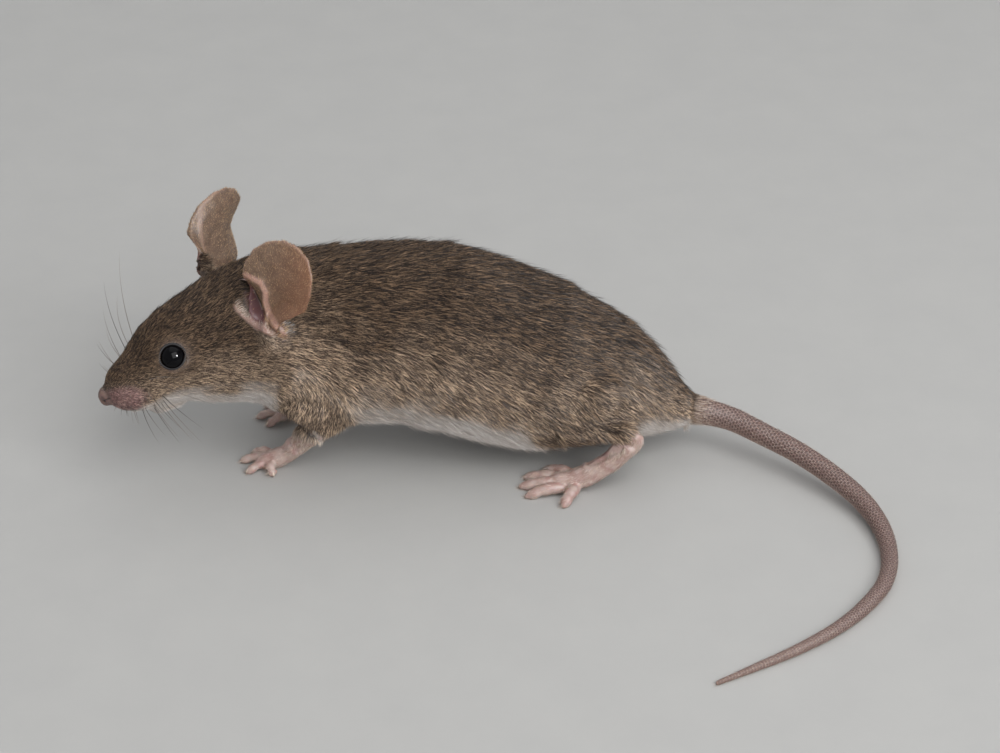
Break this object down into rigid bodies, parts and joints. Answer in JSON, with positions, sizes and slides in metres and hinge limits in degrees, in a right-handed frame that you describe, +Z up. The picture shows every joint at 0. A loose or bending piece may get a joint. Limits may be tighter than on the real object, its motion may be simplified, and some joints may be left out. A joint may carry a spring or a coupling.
{
  "type": "house mouse",
  "caption": "Life-size still model of a brown-grey house mouse standing low on all its feet, head turned to its left and the tail curled round on the ground.",
  "frame": {"origin": "on the ground, under the middle of the whole mouse's box, tail included", "axes": "the nose points to -X and the tail leaves towards +X; the mouse's left side is -Y; +Z is up"},
  "size_m": [0.1024, 0.0678, 0.036],
  "materials": {
    "fur": "short dense agouti coat, matte with a slight sheen along the hairs",
    "skin": "thin bare pink skin, soft satin",
    "tail": "finely ringed scaly skin, satin",
    "eye": "wet glossy black"
  },
  "bodies": {
    "root": {"head": "fur", "neck": "fur", "chest": "fur", "belly": "fur", "rump": "fur", "foreleg_left": "fur", "foreleg_right": "fur", "thigh_left": "fur", "thigh_right": "fur", "forepaw_left": "skin", "forepaw_right": "skin", "hindfoot_left": "skin", "hindfoot_right": "skin", "ear_left": "skin", "ear_right": "skin", "eye_left": "eye", "eye_right": "eye", "tail_root": "tail", "tail_upper": "tail", "tail_middle": "tail", "tail_lower": "tail", "tail_tip": "tail"}
  },
  "joints": []
}
